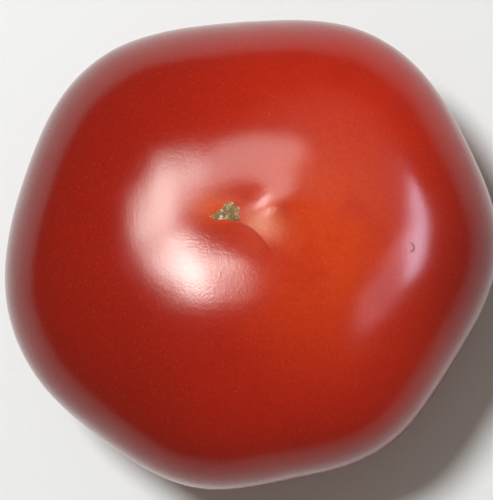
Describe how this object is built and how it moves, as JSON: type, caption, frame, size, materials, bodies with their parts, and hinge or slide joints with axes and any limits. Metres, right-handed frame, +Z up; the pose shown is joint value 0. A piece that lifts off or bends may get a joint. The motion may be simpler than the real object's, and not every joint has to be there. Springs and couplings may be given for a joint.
{
  "type": "tomato",
  "caption": "Ripe beefsteak tomato, broad and softly lobed, resting stem end down with a dimpled blossom end and small corky scar on top.",
  "frame": {"origin": "on the resting plane, under the middle of the fruit's outline", "axes": "+Z up, from the stem end to the blossom end; +X along the fruit's widest side, to the right in the picture; +Y away from the viewer, to the picture's upper edge"},
  "size_m": [0.093, 0.0888, 0.0624],
  "materials": {
    "skin": "glossy waxy fruit skin, deep red with an orange flush, with tan corky scars at both ends"
  },
  "bodies": {
    "root": {"tomato": "skin"}
  },
  "joints": []
}
